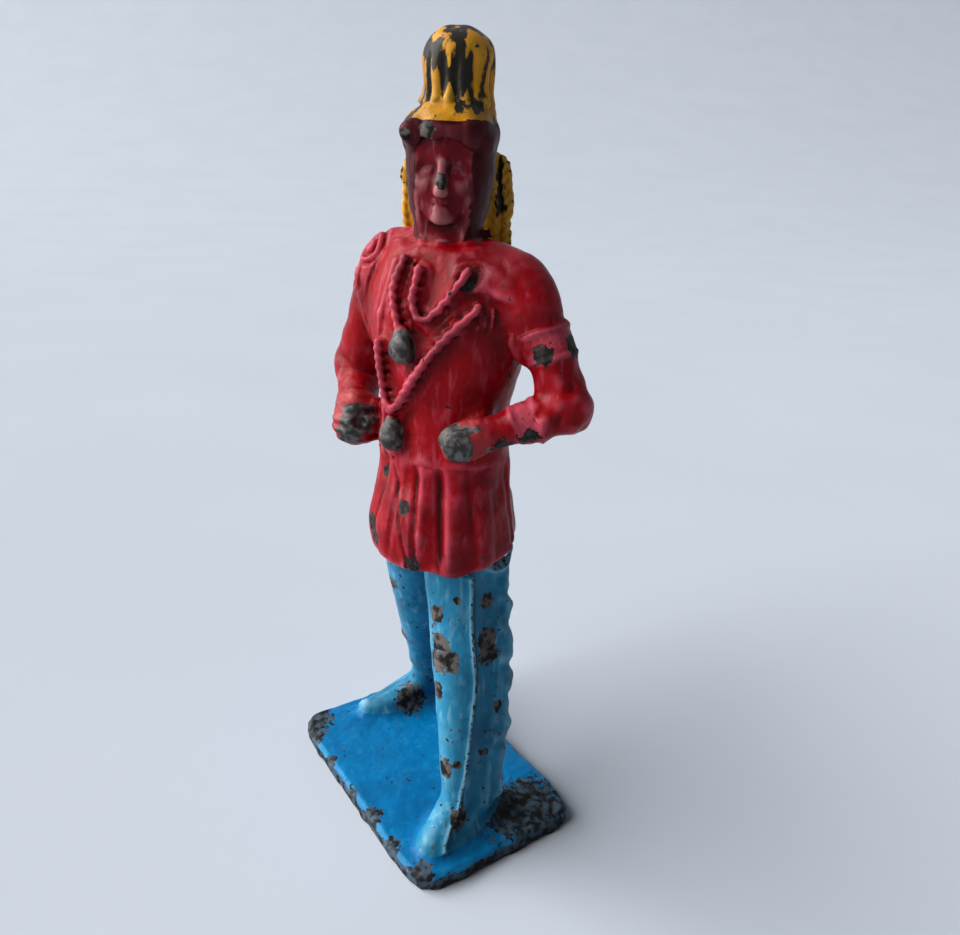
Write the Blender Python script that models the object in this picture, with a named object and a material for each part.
"""A painted cast-metal figure standing astride on a plate, made as separate castings that plug together.

Metres, +Z up. The origin is the centre of the plate's underside, the figure faces -Y and its left is +X.
"""
import math

import bmesh
import bpy
from mathutils import Matrix, Vector

MM = 0.001

# Fits
SEAM = 0.3 * MM
PIN_RADIUS = 0.8 * MM
PIN_LENGTH = 1.1 * MM

# Plate
PLATE_LENGTH = 25.8 * MM
PLATE_WIDTH = 17.2 * MM
PLATE_THICKNESS = 1.6 * MM
PLATE_EDGE = 0.35 * MM
PLATE_SQUARENESS = 9.0

# Heights of the figure, each from the piece below
LEG_HEIGHT = 23.6 * MM
SKIRT_HEIGHT = 9.0 * MM
TORSO_HEIGHT = 17.0 * MM
FACE_HEIGHT = 6.9 * MM
BAND_HEIGHT = 1.5 * MM
CAP_HEIGHT = 1.0 * MM
PLUME_HEIGHT = 5.2 * MM

# Where each part of the body stands on the plan, from the plate's centre
HIPS_X = 0.4 * MM
HIPS_Y = 0.5 * MM
CHEST_X = 0.3 * MM
CHEST_Y = 0.4 * MM
HEAD_X = 0.3 * MM
HEAD_Y = 0.3 * MM

# Turns about the vertical, towards the figure's left
CHEST_TURN = math.radians(20)
HEAD_TURN = math.radians(47)

# Legs
LEFT_HIP_X = 3.8 * MM
LEFT_HIP_Y = 0.1 * MM
LEFT_FOOT_X = 8.5 * MM
LEFT_FOOT_Y = -1.8 * MM
LEFT_TOE_OUT = math.radians(20)
LEFT_SHIN_FLARE = 3.0 * MM
RIGHT_HIP_X = -3.4 * MM
RIGHT_HIP_Y = -0.5 * MM
RIGHT_FOOT_X = -9.5 * MM
RIGHT_FOOT_Y = 2.4 * MM
RIGHT_TOE_OUT = math.radians(6)
RIGHT_SHIN_FLARE = 0.3 * MM
THIGH_RADIUS = 2.8 * MM
KNEE_RADIUS = 2.3 * MM
ANKLE_RADIUS = 1.5 * MM
FOOT_LENGTH = 9.2 * MM
FOOT_WIDTH = 3.3 * MM
FRINGE_REACH = 4.4 * MM
FRINGE_FOOT_REACH = 3.0 * MM
FRINGE_THICKNESS = 1.1 * MM
FRINGE_NOTCH = 0.25 * MM
FRINGE_NOTCHES = 6

# Shirt
HEM_WIDTH = 13.6 * MM
HEM_DEPTH = 12.2 * MM
WAIST_WIDTH = 12.2 * MM
WAIST_DEPTH = 9.8 * MM
CHEST_WIDTH = 14.6 * MM
CHEST_DEPTH = 10.0 * MM
COLLAR_WIDTH = 9.4 * MM
COLLAR_DEPTH = 7.0 * MM
PLEATS = 12
PLEAT_DEPTH = 0.16 * MM

# Arms, measured in the chest's frame
LEFT_SHOULDER_SPREAD = 8.2 * MM
RIGHT_SHOULDER_SPREAD = 7.0 * MM
LEFT_SHOULDER_DROP = 3.4 * MM
RIGHT_SHOULDER_DROP = 2.9 * MM
SHOULDER_RADIUS = 2.6 * MM
LEFT_ELBOW_OUT = 3.5 * MM
LEFT_ELBOW_BACK = 0.3 * MM
LEFT_ELBOW_DROP = 7.8 * MM
LEFT_WRIST_OUT = -0.6 * MM
LEFT_WRIST_AHEAD = 3.6 * MM
LEFT_WRIST_DROP = 9.6 * MM
RIGHT_ELBOW_OUT = 4.2 * MM
RIGHT_ELBOW_BACK = 1.6 * MM
RIGHT_ELBOW_DROP = 9.1 * MM
RIGHT_WRIST_OUT = 2.0 * MM
RIGHT_WRIST_AHEAD = 1.1 * MM
RIGHT_WRIST_DROP = 11.2 * MM
CAPE_LENGTH = 3.4 * MM
CAPE_RISE = 2.4 * MM
UPPER_ARM_RADIUS = 1.6 * MM
ELBOW_RADIUS = 1.9 * MM
WRIST_RADIUS = 1.3 * MM
HAND_RADIUS = 1.6 * MM
BAND_WALL = 0.4 * MM
ARMLET_WIDTH = 1.5 * MM
CUFF_WIDTH = 1.2 * MM

# Ornaments on the chest
CORD_RADIUS = 0.4 * MM
PENDANT_WIDTH = 2.2 * MM
PENDANT_HEIGHT = 2.8 * MM
PENDANT_THICKNESS = 1.3 * MM
UPPER_PENDANT_DROP = 7.4 * MM
LOWER_PENDANT_DROP = 14.8 * MM
NECKLINE_DROP = 5.1 * MM

# Head
HEAD_WIDTH = 5.8 * MM
HEAD_DEPTH = 6.8 * MM
NECK_RADIUS = 2.0 * MM
LOCK_RADIUS = 1.25 * MM
BAND_REACH = 0.6 * MM
PLUME_WIDTH = 5.2 * MM
PLUME_SET_BACK = 0.5 * MM
PLUME_SET_LEFT = 0.4 * MM
PLUME_FLUTES = 12
FLUTE_DEPTH = 0.14 * MM
TRAILER_WIDTH = 9.2 * MM
TRAILER_SET_RIGHT = 0.3 * MM
TRAILER_LENGTH = 17.0 * MM
TRAILER_THICKNESS = 1.2 * MM

# Points round a large, a limb-sized and a cord-sized section
ROUND = 36
LIMB_ROUND = 20
CORD_ROUND = 10

# Levels that follow from the heights
SOLE = PLATE_THICKNESS + SEAM
HEM = SOLE + LEG_HEIGHT
WAIST = HEM + SKIRT_HEIGHT
COLLAR = WAIST + TORSO_HEIGHT
BROW = COLLAR + FACE_HEIGHT + SEAM
CROWN = BROW + BAND_HEIGHT
PLUME_FOOT = CROWN + CAP_HEIGHT

RED = (0.34, 0.02, 0.035)
DARK_RED = (0.10, 0.015, 0.02)
SKIN_RED = (0.20, 0.035, 0.045)
BLUE = (0.02, 0.19, 0.42)
PALE_BLUE = (0.05, 0.27, 0.42)
YELLOW = (0.68, 0.34, 0.02)
METAL = (0.10, 0.095, 0.09)


def paint(name, colour, roughness=0.45, metallic=0.0):
    material = bpy.data.materials.new(name)
    material.use_nodes = True
    shader = material.node_tree.nodes["Principled BSDF"]
    shader.inputs["Base Color"].default_value = (*colour, 1)
    shader.inputs["Roughness"].default_value = roughness
    shader.inputs["Metallic"].default_value = metallic
    return material


def smooth(stations, steps):
    """Rows of numbers on a Catmull-Rom curve through the given rows."""
    padded = [stations[0], *stations, stations[-1]]
    path = []
    for a, b, c, d in zip(padded, padded[1:], padded[2:], padded[3:]):
        for step in range(steps):
            t = step / steps
            row = []
            for p, q, r, s in zip(a, b, c, d):
                bend = (2 * p - 5 * q + 4 * r - s) * t * t + (3 * q - p - 3 * r + s) * t ** 3
                row.append(q + 0.5 * ((r - p) * t + bend))
            path.append(tuple(row))
    path.append(tuple(stations[-1]))
    return path


def superellipse(angle, power):
    """Point of the unit superellipse in the direction of the angle, 0 at the front."""
    x, y = math.sin(angle), -math.cos(angle)
    size = (abs(x) ** power + abs(y) ** power) ** (-1 / power)
    return x * size, y * size


def oval(x, y, z, half_width, half_depth, turn, count, power=2.0, ripple=None):
    """Level ring of points round (x, y, z)."""
    points = []
    for i in range(count):
        angle = 2 * math.pi * i / count
        u, v = superellipse(angle, power)
        swell = ripple(angle) if ripple else 0.0
        local = Vector((u * (half_width + swell), v * (half_depth + swell), 0))
        points.append(Matrix.Rotation(turn, 3, "Z") @ local + Vector((x, y, z)))
    return points


def stack_rings(rows, grow=0.0, count=ROUND, power=2.0, ripple=None):
    """Level rings from rows of (z, x, y, half width, half depth, turn), grown on all sides."""
    rings = []
    last = len(rows) - 1
    for i, (z, x, y, half_width, half_depth, turn) in enumerate(rows):
        lift = -grow if i == 0 else grow if i == last else 0.0
        rings.append(
            oval(x, y, z + lift, half_width + grow, half_depth + grow, turn, count, power, ripple)
        )
    return rings


def limb_rings(rows, grow=0.0, count=LIMB_ROUND):
    """Rings square to a path through rows of (x, y, z, radius), with rounded ends."""
    points = [Vector(row[:3]) for row in rows]
    radii = [row[3] + grow for row in rows]
    tangents = []
    for i in range(len(points)):
        ahead = points[min(i + 1, len(points) - 1)]
        behind = points[max(i - 1, 0)]
        tangents.append((ahead - behind).normalized())
    side = tangents[0].orthogonal().normalized()
    rings = []
    for i, (point, radius, tangent) in enumerate(zip(points, radii, tangents)):
        side = (side - tangent * side.dot(tangent)).normalized()
        other = tangent.cross(side)
        ends = []
        if i == 0:
            ends = [(-0.85, 0.5), (-0.5, 0.85)]
        elif i == len(points) - 1:
            ends = [(0.5, 0.85), (0.85, 0.5)]
        steps = [*ends, (0.0, 1.0)] if i == 0 else [(0.0, 1.0), *ends]
        for along, share in steps:
            ring = []
            for k in range(count):
                angle = 2 * math.pi * k / count
                spoke = side * math.cos(angle) + other * math.sin(angle)
                ring.append(point + tangent * along * radius + spoke * radius * share)
            rings.append(ring)
    return rings


def drum_rings(x, y, low, high, radius, count=LIMB_ROUND):
    return stack_rings([(low, x, y, radius, radius, 0.0), (high, x, y, radius, radius, 0.0)], count=count)


def skin(name, rings, parent=None, material=None):
    """Closed body over the rings, its two end rings capped."""
    bm = bmesh.new()
    loops = [[bm.verts.new(point) for point in ring] for ring in rings]
    for low, high in zip(loops, loops[1:]):
        for i in range(len(low)):
            j = (i + 1) % len(low)
            bm.faces.new((low[i], low[j], high[j], high[i]))
    bm.faces.new(loops[0][::-1])
    bm.faces.new(loops[-1])
    bmesh.ops.recalc_face_normals(bm, faces=bm.faces)
    for face in bm.faces:
        face.smooth = len(face.verts) == 4
    mesh = bpy.data.meshes.new(name)
    bm.to_mesh(mesh)
    bm.free()
    body = bpy.data.objects.new(name, mesh)
    bpy.context.scene.collection.objects.link(body)
    body.parent = parent
    if material:
        mesh.materials.append(material)
    return body


def guide(name, rings, parent=None):
    """Body used only to cut or to add to another one."""
    body = skin(name, rings, parent)
    body.hide_render = True
    body.display_type = "WIRE"
    return body


def combine(target, tool, operation):
    step = target.modifiers.new(f"{operation.lower()} {tool.name}", "BOOLEAN")
    step.operation = operation
    step.solver = "EXACT"
    step.object = tool


def carve(target, *tools):
    for tool in tools:
        combine(target, tool, "DIFFERENCE")


def fuse(target, *tools):
    for tool in tools:
        combine(target, tool, "UNION")


def frame(name, x, y, turn):
    empty = bpy.data.objects.new(name, None)
    bpy.context.scene.collection.objects.link(empty)
    empty.location = (x, y, 0)
    empty.rotation_euler.z = turn
    return empty


for leftover in list(bpy.data.objects):
    bpy.data.objects.remove(leftover)

chest = frame("chest_frame", CHEST_X, CHEST_Y, CHEST_TURN)
skull = frame("head_frame", HEAD_X, HEAD_Y, HEAD_TURN)

red = paint("red_paint", RED)
dark_red = paint("dark_red_paint", DARK_RED)
face_red = paint("face_paint", SKIN_RED)
blue = paint("blue_paint", BLUE)
pale_blue = paint("pale_blue_paint", PALE_BLUE)
yellow = paint("yellow_paint", YELLOW)
metal = paint("bare_metal", METAL, 0.55, 0.6)


# Plate
def plate_rings():
    half_length, half_width = PLATE_LENGTH / 2, PLATE_WIDTH / 2
    rows = []
    for z, inset in (
        (0.0, PLATE_EDGE / 2),
        (PLATE_EDGE / 2, 0.0),
        (PLATE_THICKNESS - PLATE_EDGE, 0.0),
        (PLATE_THICKNESS, PLATE_EDGE),
    ):
        rows.append((z, 0.0, 0.0, half_length - inset, half_width - inset, 0.0))
    return stack_rings(rows, count=2 * ROUND, power=PLATE_SQUARENESS)


base_plate = skin("base_plate", plate_rings(), None, blue)


# Legs: each is a stack of ovals that lengthen into the foot at the bottom
def leg_rows(hip_x, hip_y, foot_x, foot_y, toe_out, flare):
    """Rows from the sole to the hem; the foot points along -Y turned by toe_out."""
    ahead = Vector((math.sin(toe_out), -math.cos(toe_out), 0))
    ankle = Vector((foot_x, foot_y, 0)) - ahead * (FOOT_LENGTH / 2 - 1.3 * ANKLE_RADIUS)
    hip = Vector((hip_x, hip_y, 0))
    top = HEM - SEAM
    rise = top - SOLE
    rows = [
        (SOLE, foot_x, foot_y, FOOT_WIDTH / 2, FOOT_LENGTH / 2, toe_out),
        (SOLE + 0.04 * rise, foot_x, foot_y, FOOT_WIDTH / 2, FOOT_LENGTH / 2, toe_out),
    ]
    for share, along, radius, spread in (
        (0.12, 0.02, ANKLE_RADIUS, 1.0),
        (0.24, 0.12, ANKLE_RADIUS * 1.05, 0.9),
        (0.40, 0.30, (ANKLE_RADIUS + KNEE_RADIUS) / 2, 0.65),
        (0.58, 0.52, KNEE_RADIUS, 0.35),
        (0.80, 0.80, (KNEE_RADIUS + THIGH_RADIUS) / 2, 0.1),
        (1.00, 1.00, THIGH_RADIUS, 0.0),
    ):
        reach = spread * flare
        centre = ankle.lerp(hip, along) + ahead * reach / 2
        rows.append((SOLE + share * rise, centre.x, centre.y, radius, radius + reach / 2, toe_out))
    return smooth(rows, 2)


def between(rows, z):
    """Row at height z between the rows of a stack, which rise."""
    for low, high in zip(rows, rows[1:]):
        if z <= high[0]:
            share = (z - low[0]) / (high[0] - low[0])
            return [p + (q - p) * share for p, q in zip(low, high)]
    return rows[-1]


def fringe_rings(rows, reach_turn):
    """Flat flap beside a leg: its outer edge runs in and out in even notches."""
    reach = Vector((math.sin(reach_turn), -math.cos(reach_turn), 0))
    low, high = SOLE + 2.2 * MM, HEM - SEAM
    steps = 4 * FRINGE_NOTCHES
    stacked = []
    for i in range(steps + 1):
        share = i / steps
        z = low + share * (high - low)
        _, x, y, _, _, _ = between(rows, z)
        notch = FRINGE_NOTCH * math.cos(2 * math.pi * FRINGE_NOTCHES * share)
        far = FRINGE_FOOT_REACH + (FRINGE_REACH - FRINGE_FOOT_REACH) * min(1.0, share / 0.6) + notch
        middle = Vector((x, y, 0)) + reach * far / 2
        stacked.append((z, middle.x, middle.y, FRINGE_THICKNESS / 2, far / 2, reach_turn))
    return stack_rings(stacked, count=LIMB_ROUND, power=4.0)


LEFT_LEG = leg_rows(LEFT_HIP_X, LEFT_HIP_Y, LEFT_FOOT_X, LEFT_FOOT_Y, LEFT_TOE_OUT, LEFT_SHIN_FLARE)
RIGHT_LEG = leg_rows(
    RIGHT_HIP_X, RIGHT_HIP_Y, RIGHT_FOOT_X, RIGHT_FOOT_Y, -RIGHT_TOE_OUT, RIGHT_SHIN_FLARE
)

skirt_sockets = []
for side, rows, fringe_turn in (
    ("left", LEFT_LEG, math.radians(148)),
    ("right", RIGHT_LEG, math.radians(-150)),
):
    leg = skin(f"{side}_leg", stack_rings(rows, count=LIMB_ROUND), None, pale_blue)
    foot_x, foot_y = rows[0][1], rows[0][2]
    hip_x, hip_y = rows[-1][1], rows[-1][2]
    foot_pin = drum_rings(foot_x, foot_y, SOLE - PIN_LENGTH, SOLE + PIN_LENGTH / 2, PIN_RADIUS)
    hip_pin = drum_rings(hip_x, hip_y, HEM - PIN_LENGTH, HEM + 2 * PIN_LENGTH, PIN_RADIUS)
    fuse(leg, guide(f"{side}_foot_pin", foot_pin), guide(f"{side}_hip_pin", hip_pin))
    foot_hole = drum_rings(
        foot_x, foot_y, SOLE - PIN_LENGTH - SEAM, SOLE + PIN_LENGTH, PIN_RADIUS + SEAM
    )
    carve(base_plate, guide(f"{side}_foot_hole", foot_hole))
    hip_hole = drum_rings(hip_x, hip_y, HEM - PIN_LENGTH, HEM + 2 * PIN_LENGTH + SEAM, PIN_RADIUS + SEAM)
    skirt_sockets.append(guide(f"{side}_hip_hole", hip_hole))
    fringe = skin(f"{side}_leg_fringe", fringe_rings(rows, fringe_turn), None, pale_blue)
    carve(fringe, guide(f"{side}_leg_room", stack_rings(rows, SEAM, LIMB_ROUND)))


# Shirt: the skirt below the waist crease and the body above it, which turns towards the left
def pleat(angle):
    return PLEAT_DEPTH * math.cos(PLEATS * angle)


SKIRT_ROWS = smooth(
    [
        (HEM, HIPS_X, HIPS_Y, HEM_WIDTH / 2, HEM_DEPTH / 2, 0.0),
        (HEM + 0.35 * SKIRT_HEIGHT, HIPS_X, HIPS_Y, HEM_WIDTH / 2, HEM_DEPTH / 2, 0.0),
        (HEM + 0.8 * SKIRT_HEIGHT, HIPS_X, HIPS_Y, WAIST_WIDTH / 1.94, WAIST_DEPTH / 1.94, 0.2 * CHEST_TURN),
        (WAIST, HIPS_X, HIPS_Y, WAIST_WIDTH / 2, WAIST_DEPTH / 2, 0.3 * CHEST_TURN),
    ],
    2,
)
tunic_skirt = skin("tunic_skirt", stack_rings(SKIRT_ROWS, count=2 * ROUND, ripple=pleat), None, red)
carve(tunic_skirt, *skirt_sockets)

BELLY = WAIST + 0.25 * TORSO_HEIGHT
RIBS = WAIST + 0.55 * TORSO_HEIGHT
TORSO_ROWS = smooth(
    [
        (WAIST + SEAM, HIPS_X, HIPS_Y, WAIST_WIDTH / 2, WAIST_DEPTH / 2, 0.3 * CHEST_TURN),
        (BELLY, HIPS_X, HIPS_Y, WAIST_WIDTH / 2.04, WAIST_DEPTH / 2.04, 0.5 * CHEST_TURN),
        (RIBS, CHEST_X, CHEST_Y, CHEST_WIDTH / 2.1, CHEST_DEPTH / 2, 0.85 * CHEST_TURN),
        (WAIST + 0.76 * TORSO_HEIGHT, CHEST_X, CHEST_Y, CHEST_WIDTH / 2, CHEST_DEPTH / 2.1, CHEST_TURN),
        (WAIST + 0.90 * TORSO_HEIGHT, CHEST_X, CHEST_Y, CHEST_WIDTH / 2.2, CHEST_DEPTH / 2.4, CHEST_TURN),
        (COLLAR, CHEST_X, CHEST_Y, COLLAR_WIDTH / 2, COLLAR_DEPTH / 2, CHEST_TURN),
    ],
    3,
)
tunic_body = skin("tunic_body", stack_rings(TORSO_ROWS), None, red)
torso_room = guide("torso_room", stack_rings(TORSO_ROWS, SEAM))
waist_pin = drum_rings(HIPS_X, HIPS_Y, WAIST - 2 * PIN_LENGTH, WAIST + 2 * PIN_LENGTH, 2 * PIN_RADIUS)
fuse(tunic_body, guide("waist_pin", waist_pin))
waist_hole = drum_rings(
    HIPS_X, HIPS_Y, WAIST - 2 * PIN_LENGTH - SEAM, WAIST + 2 * PIN_LENGTH, 2 * PIN_RADIUS + SEAM
)
carve(tunic_skirt, guide("waist_hole", waist_hole))


def on_chest(z, angle, off):
    """Point at this height and angle from the chest's front, this far out from the shirt."""

    def surface(level, bearing):
        _, x, y, half_width, half_depth, turn = between(TORSO_ROWS, level)
        spot = Vector((half_width * math.sin(bearing), -half_depth * math.cos(bearing), level))
        return Matrix.Rotation(turn, 3, "Z") @ spot + Vector((x, y, 0))

    step = 0.05 * MM
    here = surface(z, angle)
    across = surface(z, angle + 0.01) - here
    upward = here - surface(z - step, angle)
    return here + across.cross(upward).normalized() * off


# Shoulders and arms, in the chest's frame
LEFT_SHOULDER = COLLAR - LEFT_SHOULDER_DROP
RIGHT_SHOULDER = COLLAR - RIGHT_SHOULDER_DROP


def arm_rows(mirror, shoulder, elbow, wrist):
    """Rows along the upper arm and along the forearm, through points given as if they were the left one's."""
    bones = []
    for start, end, start_radius, end_radius in (
        (shoulder, elbow, UPPER_ARM_RADIUS, ELBOW_RADIUS),
        (elbow, wrist, ELBOW_RADIUS, WRIST_RADIUS),
    ):
        middle = Vector(start).lerp(Vector(end), 0.5)
        stations = [(start, start_radius), (middle, min(start_radius, end_radius) * 1.08), (end, end_radius)]
        bones.append(smooth([(mirror * x, y, z, radius) for (x, y, z), radius in stations], 3))
    return bones


LEFT_ARM = arm_rows(
    1,
    (LEFT_SHOULDER_SPREAD, 0.0, LEFT_SHOULDER),
    (LEFT_SHOULDER_SPREAD + LEFT_ELBOW_OUT, LEFT_ELBOW_BACK, LEFT_SHOULDER - LEFT_ELBOW_DROP),
    (LEFT_SHOULDER_SPREAD + LEFT_WRIST_OUT, -LEFT_WRIST_AHEAD, LEFT_SHOULDER - LEFT_WRIST_DROP),
)
RIGHT_ARM = arm_rows(
    -1,
    (RIGHT_SHOULDER_SPREAD, 0.0, RIGHT_SHOULDER),
    (RIGHT_SHOULDER_SPREAD + RIGHT_ELBOW_OUT, RIGHT_ELBOW_BACK, RIGHT_SHOULDER - RIGHT_ELBOW_DROP),
    (RIGHT_SHOULDER_SPREAD + RIGHT_WRIST_OUT, -RIGHT_WRIST_AHEAD, RIGHT_SHOULDER - RIGHT_WRIST_DROP),
)
cape_rooms = {}
for side, mirror, spread, level, rows in (
    ("left", 1, LEFT_SHOULDER_SPREAD, LEFT_SHOULDER, LEFT_ARM),
    ("right", -1, RIGHT_SHOULDER_SPREAD, RIGHT_SHOULDER, RIGHT_ARM),
):
    cape_rows = smooth(
        [
            (mirror * (spread - CAPE_LENGTH), 0.0, level + CAPE_RISE, SHOULDER_RADIUS * 0.7),
            (mirror * (spread - 0.4 * CAPE_LENGTH), 0.0, level + CAPE_RISE / 2, SHOULDER_RADIUS * 0.95),
            (mirror * spread, 0.0, level - CAPE_RISE / 4, SHOULDER_RADIUS * 0.95),
        ],
        3,
    )
    cape = skin(f"{side}_shoulder_cape", limb_rings(cape_rows), chest, red)
    carve(cape, torso_room)
    cape_rooms[side] = guide(f"{side}_cape_room", limb_rings(cape_rows, SEAM), chest)
    upper, fore = rows
    arm = skin(f"{side}_arm", limb_rings(upper), chest, red)
    fuse(arm, guide(f"{side}_forearm", limb_rings(fore), chest))
    carve(arm, cape_rooms[side], torso_room)
    wrist = Vector(fore[-1][:3])
    reach = (wrist - Vector(fore[-3][:3])).normalized()
    fist_from = wrist + reach * (WRIST_RADIUS * 0.85 + SEAM)
    fist_to = fist_from + reach * HAND_RADIUS * 0.9
    fist_rows = [(*fist_from, HAND_RADIUS * 0.9), (*fist_to, HAND_RADIUS)]
    fist = skin(f"{side}_hand", limb_rings(fist_rows), chest, metal)
    carve(fist, guide(f"{side}_arm_room", limb_rings(fore, SEAM), chest), torso_room)


def sleeve(name, rows, place, width, material):
    """Raised band round a straight stretch of the left arm, after the row at this place."""
    here, ahead = Vector(rows[place][:3]), Vector(rows[place + 1][:3])
    along = (ahead - here).normalized() * width / 2
    radius = max(rows[place][3], rows[place + 1][3]) + SEAM + BAND_WALL
    middle = (here + ahead) / 2
    start, end = middle - along, middle + along
    side = along.orthogonal().normalized()
    other = along.normalized().cross(side)
    rings = []
    for spot, share in ((start, 0.94), (start.lerp(end, 0.2), 1.0), (start.lerp(end, 0.8), 1.0), (end, 0.94)):
        ring = []
        for k in range(LIMB_ROUND):
            angle = 2 * math.pi * k / LIMB_ROUND
            ring.append(spot + (side * math.cos(angle) + other * math.sin(angle)) * radius * share)
        rings.append(ring)
    band = skin(name, rings, chest, material)
    carve(band, guide(f"{name}_bore", limb_rings(rows, SEAM), chest), cape_rooms["left"], torso_room)


sleeve("left_armlet", LEFT_ARM[0], 2, ARMLET_WIDTH, red)
sleeve("left_cuff", LEFT_ARM[1], 3, CUFF_WIDTH, red)


# Cords and pendants on the chest, given by height below the collar and angle from the chest's front
def cord(name, course, material):
    rows = []
    for drop, degrees in smooth(course, 4):
        spot = on_chest(COLLAR - drop, math.radians(degrees), CORD_RADIUS + SEAM)
        rows.append((*spot, CORD_RADIUS))
    return skin(name, limb_rings(rows, count=CORD_ROUND), None, material)


def pendant_rings(drop, degrees, grow=0.0):
    """Oval boss that stands out from the shirt."""
    z, angle = COLLAR - drop, math.radians(degrees)
    inner = on_chest(z, angle, SEAM - grow)
    outer = on_chest(z, angle, SEAM + PENDANT_THICKNESS + grow)
    out = (outer - inner).normalized()
    across = Vector((0, 0, 1)).cross(out).normalized() * (PENDANT_WIDTH / 2 + grow)
    upward = out.cross(across).normalized() * (PENDANT_HEIGHT / 2 + grow)
    rings = []
    for depth, share in ((0.0, 0.75), (0.3, 1.0), (0.6, 0.95), (0.88, 0.65), (1.0, 0.25)):
        ring = []
        for k in range(LIMB_ROUND):
            turn = 2 * math.pi * k / LIMB_ROUND
            spoke = across * math.cos(turn) + upward * math.sin(turn)
            ring.append(inner.lerp(outer, depth) + spoke * share)
        rings.append(ring)
    return rings


def pendant(name, drop, degrees, material, held_by):
    body = skin(name, pendant_rings(drop, degrees), None, material)
    carve(body, torso_room)
    carve(held_by, guide(f"{name}_room", pendant_rings(drop, degrees, SEAM)))


neckline = cord(
    "neckline",
    [
        (0.3 * NECKLINE_DROP, 8),
        (0.7 * NECKLINE_DROP, 6),
        (0.95 * NECKLINE_DROP, 10),
        (NECKLINE_DROP, 16),
        (0.88 * NECKLINE_DROP, 22),
        (0.6 * NECKLINE_DROP, 31),
        (0.3 * NECKLINE_DROP, 42),
    ],
    red,
)
upper_necklace = cord(
    "upper_necklace",
    [
        (0.14 * UPPER_PENDANT_DROP, -6),
        (0.45 * UPPER_PENDANT_DROP, -9),
        (0.7 * UPPER_PENDANT_DROP, -4),
        (UPPER_PENDANT_DROP - PENDANT_HEIGHT / 2, 0),
    ],
    red,
)
lower_necklace = cord(
    "lower_necklace",
    [
        (0.5 * LOWER_PENDANT_DROP, -19),
        (0.67 * LOWER_PENDANT_DROP, -17),
        (0.8 * LOWER_PENDANT_DROP, -13),
        (0.855 * LOWER_PENDANT_DROP, -5),
        (0.8 * LOWER_PENDANT_DROP, 4),
        (0.66 * LOWER_PENDANT_DROP, 13),
        (0.47 * LOWER_PENDANT_DROP, 27),
        (0.26 * LOWER_PENDANT_DROP, 48),
    ],
    red,
)
pendant("upper_pendant", UPPER_PENDANT_DROP, 3, metal, upper_necklace)
pendant("lower_pendant", LOWER_PENDANT_DROP, -2, metal, lower_necklace)

# Head, in its own frame
HEAD_ROWS = smooth(
    [
        (COLLAR - 1.6 * MM, 0.0, 0.3 * MM, NECK_RADIUS, NECK_RADIUS, 0.0),
        (COLLAR + 0.2 * MM, 0.0, 0.2 * MM, NECK_RADIUS, NECK_RADIUS, 0.0),
        (COLLAR + 0.16 * FACE_HEIGHT, 0.0, -0.5 * MM, HEAD_WIDTH / 3.1, HEAD_DEPTH / 2.7, 0.0),
        (COLLAR + 0.45 * FACE_HEIGHT, 0.0, 0.0, HEAD_WIDTH / 2.15, HEAD_DEPTH / 2.1, 0.0),
        (COLLAR + 0.8 * FACE_HEIGHT, 0.0, 0.2 * MM, HEAD_WIDTH / 2, HEAD_DEPTH / 2, 0.0),
        (BROW, 0.0, 0.3 * MM, HEAD_WIDTH / 2, HEAD_DEPTH / 2, 0.0),
        (CROWN, 0.0, 0.4 * MM, HEAD_WIDTH / 2.1, HEAD_DEPTH / 2.1, 0.0),
    ],
    2,
)
head = skin("head", stack_rings(HEAD_ROWS, count=ROUND), skull, face_red)
head_room = guide("head_room", stack_rings(HEAD_ROWS, SEAM, ROUND), skull)
carve(tunic_body, head_room)
carve(neckline, head_room)
carve(upper_necklace, head_room)

BAND_ROWS = []
band_edge = 0.3 * BAND_HEIGHT
for z, share in ((BROW, 0.5), (BROW + band_edge, 1.0), (CROWN - band_edge, 1.0), (CROWN, 0.6)):
    reach = SEAM + BAND_REACH * share
    BAND_ROWS.append((z, 0.0, 0.3 * MM, HEAD_WIDTH / 2 + reach, HEAD_DEPTH / 2 + reach, 0.0))
headband = skin("headband", stack_rings(BAND_ROWS), skull, dark_red)
carve(headband, head_room)
band_room = guide("band_room", stack_rings(BAND_ROWS, SEAM), skull)

CAP_ROWS = smooth(
    [
        (CROWN + SEAM, 0.0, 0.4 * MM, HEAD_WIDTH / 1.95, HEAD_DEPTH / 1.95, 0.0),
        (CROWN + SEAM + 0.35 * CAP_HEIGHT, 0.0, 0.4 * MM, HEAD_WIDTH / 2.1, HEAD_DEPTH / 2.15, 0.0),
        (PLUME_FOOT, PLUME_SET_LEFT, PLUME_SET_BACK, PLUME_WIDTH / 2, PLUME_WIDTH / 2, 0.0),
    ],
    2,
)
head_cap = skin("head_cap", stack_rings(CAP_ROWS), skull, yellow)
cap_pin = drum_rings(0.0, 0.4 * MM, CROWN - PIN_LENGTH, CROWN + SEAM + CAP_HEIGHT / 4, PIN_RADIUS)
fuse(head_cap, guide("cap_pin", cap_pin, skull))
cap_hole = drum_rings(0.0, 0.4 * MM, CROWN - PIN_LENGTH - SEAM, CROWN + PIN_LENGTH, PIN_RADIUS + SEAM)
carve(head, guide("cap_hole", cap_hole, skull))


def flute(angle):
    return FLUTE_DEPTH * math.cos(PLUME_FLUTES * angle)


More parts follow.
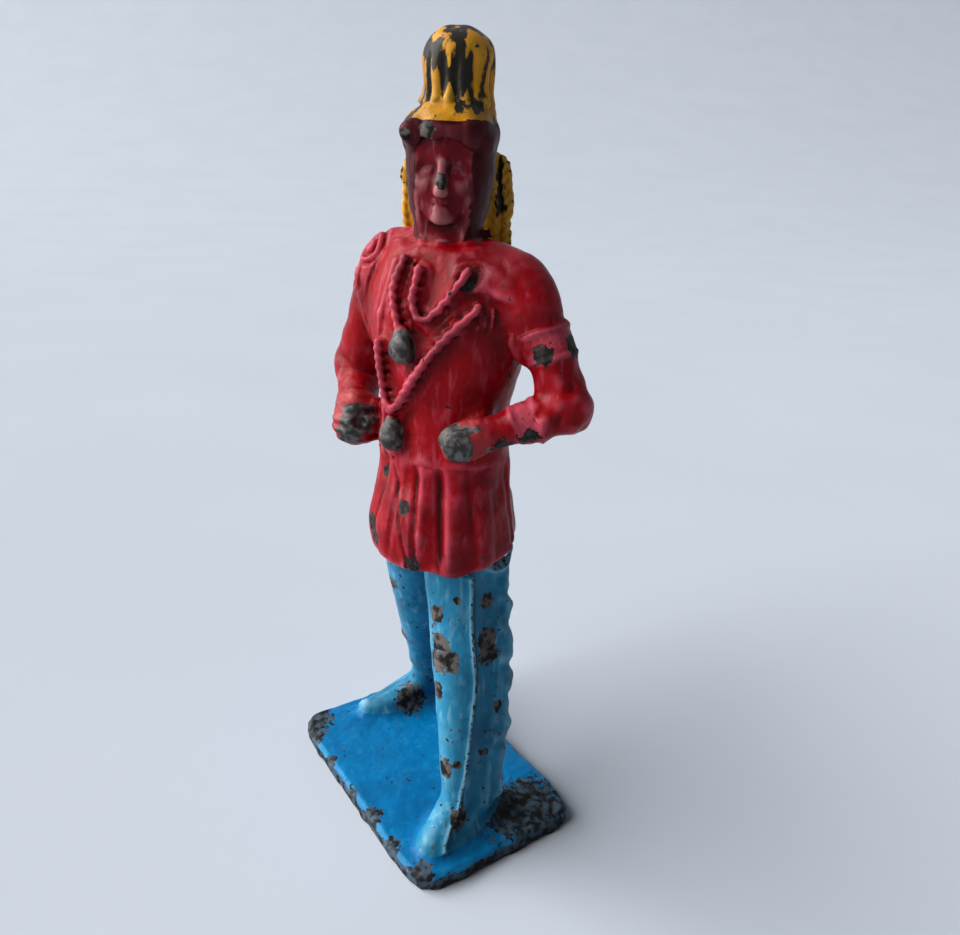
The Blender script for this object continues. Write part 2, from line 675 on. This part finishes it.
PLUME_ROWS = []
for share, size in (
    (0.0, 0.86),
    (0.15, 0.9),
    (0.45, 0.99),
    (0.62, 1.0),
    (0.78, 0.93),
    (0.90, 0.74),
    (0.97, 0.48),
    (1.0, 0.26),
):
    z = PLUME_FOOT + SEAM + share * PLUME_HEIGHT
    half = size * PLUME_WIDTH / 2
    PLUME_ROWS.append((z, PLUME_SET_LEFT, PLUME_SET_BACK, half, half, 0.0))
plume_rings = stack_rings(PLUME_ROWS, count=4 * PLUME_FLUTES, ripple=flute)
feather_plume = skin("feather_plume", plume_rings, skull, yellow)
plume_low = PLUME_FOOT - 0.6 * CAP_HEIGHT
plume_pin = drum_rings(PLUME_SET_LEFT, PLUME_SET_BACK, plume_low, PLUME_FOOT + 2 * SEAM, PIN_RADIUS)
fuse(feather_plume, guide("plume_pin", plume_pin, skull))
plume_pin_top = PLUME_FOOT + PIN_LENGTH
plume_hole = drum_rings(PLUME_SET_LEFT, PLUME_SET_BACK, plume_low - SEAM, plume_pin_top, PIN_RADIUS + SEAM)
carve(head_cap, guide("plume_hole", plume_hole, skull))

for side, mirror in (("left", 1), ("right", -1)):
    outer = mirror * (HEAD_WIDTH / 2 + 0.2 * MM)
    lock_rows = smooth(
        [
            (outer, 0.2 * MM, BROW - SEAM - LOCK_RADIUS, LOCK_RADIUS),
            (outer + mirror * 0.2 * MM, 0.1 * MM, COLLAR + 0.5 * FACE_HEIGHT, LOCK_RADIUS * 1.1),
            (outer + mirror * 0.3 * MM, -0.2 * MM, COLLAR + 0.15 * FACE_HEIGHT, LOCK_RADIUS),
        ],
        3,
    )
    lock = skin(f"{side}_hair_lock", limb_rings(lock_rows), skull, dark_red)
    carve(lock, head_room, band_room, torso_room, cape_rooms["left"], cape_rooms["right"])

# Trailer hanging behind the head and down the back
back = HEAD_DEPTH / 2 + SEAM + BAND_REACH
TRAILER_ROWS = []
HANG = ((0.0, 0.0, 0.8), (0.12, 0.1, 1.0), (0.5, 0.9, 1.0), (0.88, 1.6, 0.9), (1.0, 1.7, 0.6))
for share, slack, size in HANG:
    z = BROW - share * TRAILER_LENGTH
    half = size * TRAILER_WIDTH / 2
    TRAILER_ROWS.append((z, -TRAILER_SET_RIGHT, back + slack * MM, half, TRAILER_THICKNESS / 2, 0.0))
TRAILER_ROWS = smooth(TRAILER_ROWS[::-1], 3)
feather_trailer = skin("feather_trailer", stack_rings(TRAILER_ROWS, power=3.0), skull, yellow)
carve(feather_trailer, torso_room, head_room, band_room, cape_rooms["left"], cape_rooms["right"])
